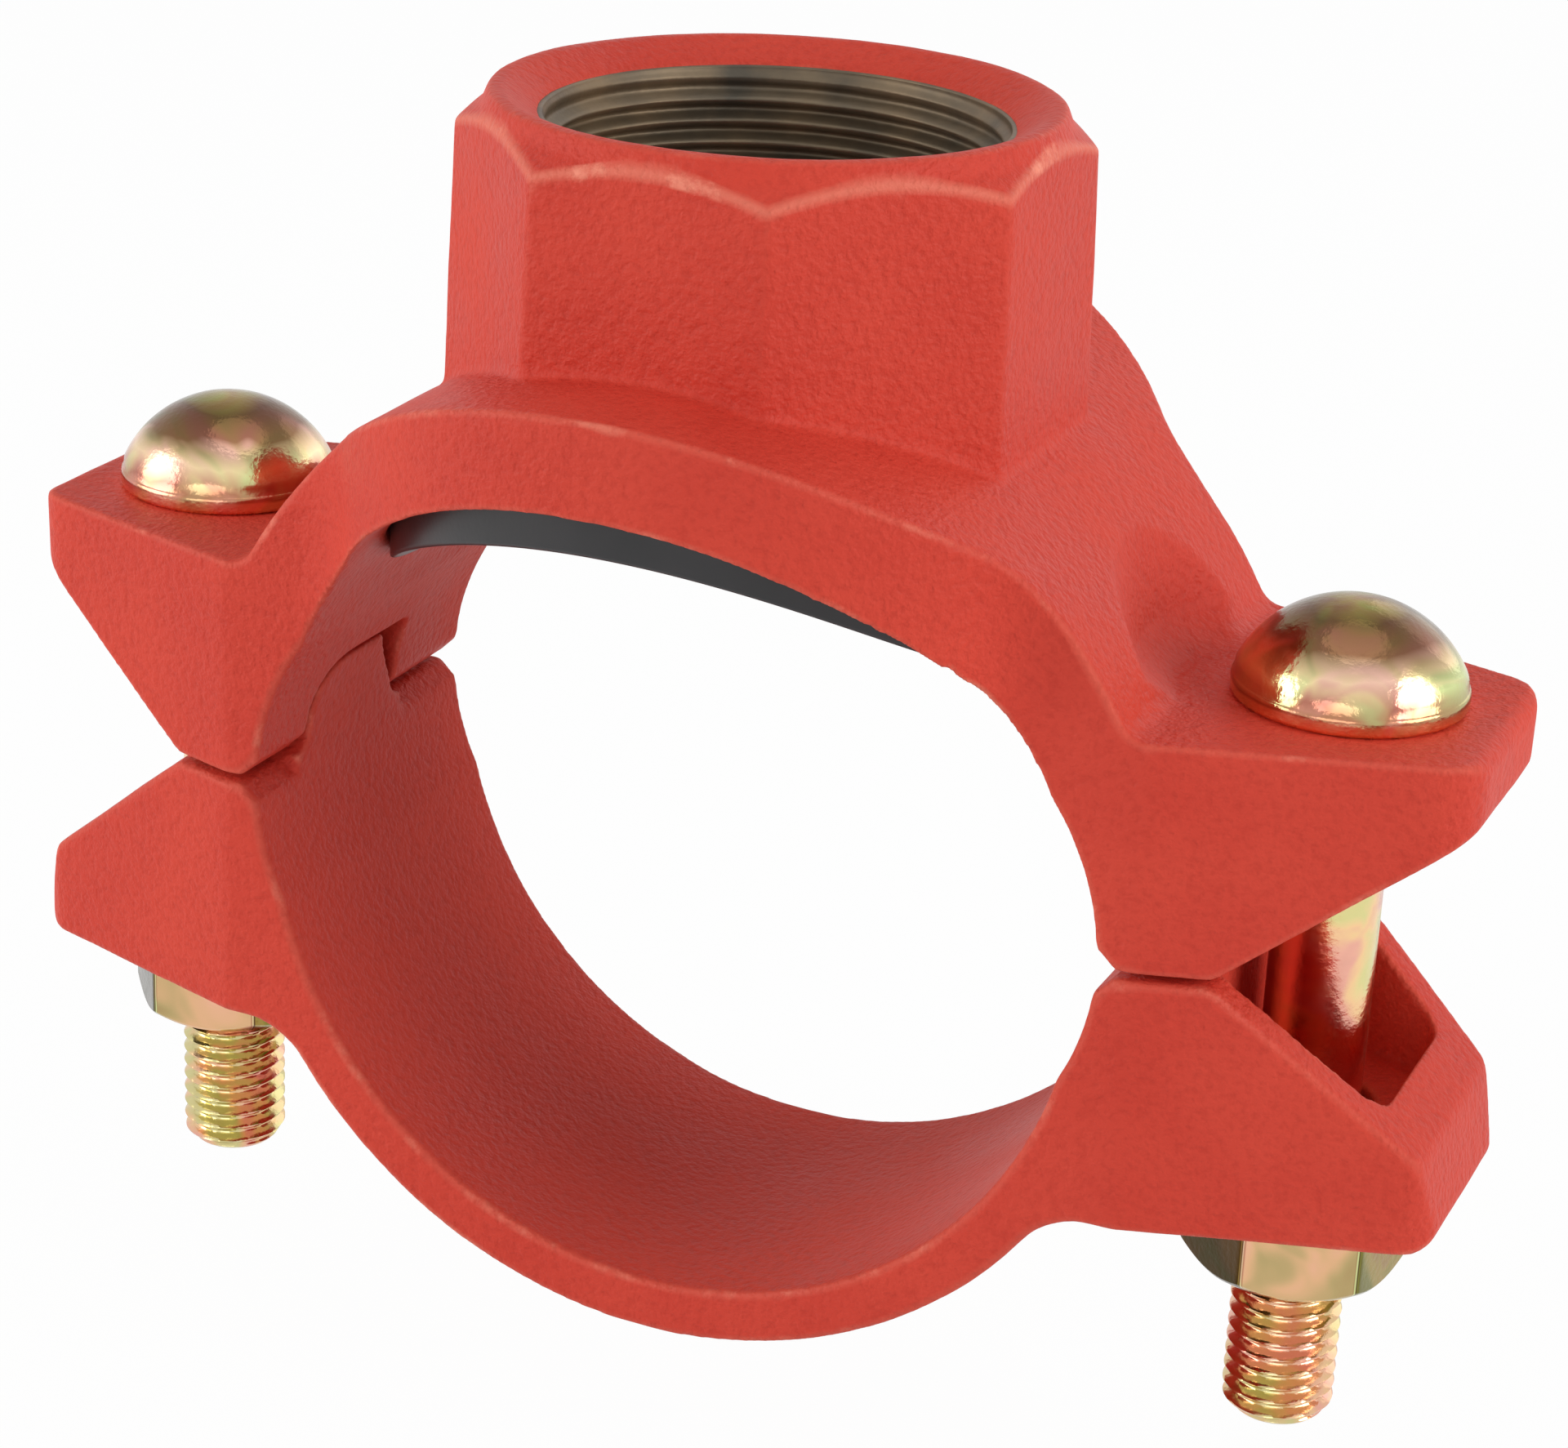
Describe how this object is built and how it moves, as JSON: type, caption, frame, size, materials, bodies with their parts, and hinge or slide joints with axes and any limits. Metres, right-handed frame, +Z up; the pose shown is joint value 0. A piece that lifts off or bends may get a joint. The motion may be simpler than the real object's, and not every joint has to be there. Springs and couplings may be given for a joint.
{
  "type": "mechanical tee",
  "caption": "Bolted pipe tee: an arched casting with an octagonal tapped outlet and a lower strap clamp round a run pipe over a saddle gasket, drawn up by round-head bolts.",
  "frame": {"origin": "on the run pipe's axis, straight under the middle of the outlet", "axes": "+X across from bolt to bolt, +Y along the run pipe, +Z up the outlet"},
  "size_m": [0.1652, 0.0884, 0.1346],
  "materials": {
    "painted_casting": "gloss paint over a sand-cast skin",
    "gasket_rubber": "satin moulded rubber",
    "passivated_zinc": "bright zinc plate with a yellow rainbow passivation"
  },
  "bodies": {
    "tee": {"outlet_housing": "painted_casting", "gasket": "gasket_rubber", "bolt_left": "passivated_zinc", "bolt_right": "passivated_zinc"},
    "strap": {"strap_housing": "painted_casting"},
    "nut_left": {"nut_left": "passivated_zinc"},
    "nut_right": {"nut_right": "passivated_zinc"}
  },
  "joints": [
    {"name": "strap_slide", "type": "slide", "parent": "tee", "child": "strap", "axis": [0, 0, -1], "range_m": [0, 0.0175]},
    {"name": "nut_left_turn", "type": "hinge", "parent": "strap", "child": "nut_left", "pos_m": [-0.0652, 0, -0.032], "axis": [0, 0, -1], "range_deg": [-5, 3605]},
    {"name": "nut_right_turn", "type": "hinge", "parent": "strap", "child": "nut_right", "pos_m": [0.0652, 0, -0.032], "axis": [0, 0, -1], "range_deg": [-5, 3605]}
  ],
  "couplings": [
    {"joint": "nut_left_turn", "follows": "strap_slide", "rad_per_m": 3590.4},
    {"joint": "nut_right_turn", "follows": "strap_slide", "rad_per_m": 3590.4}
  ]
}
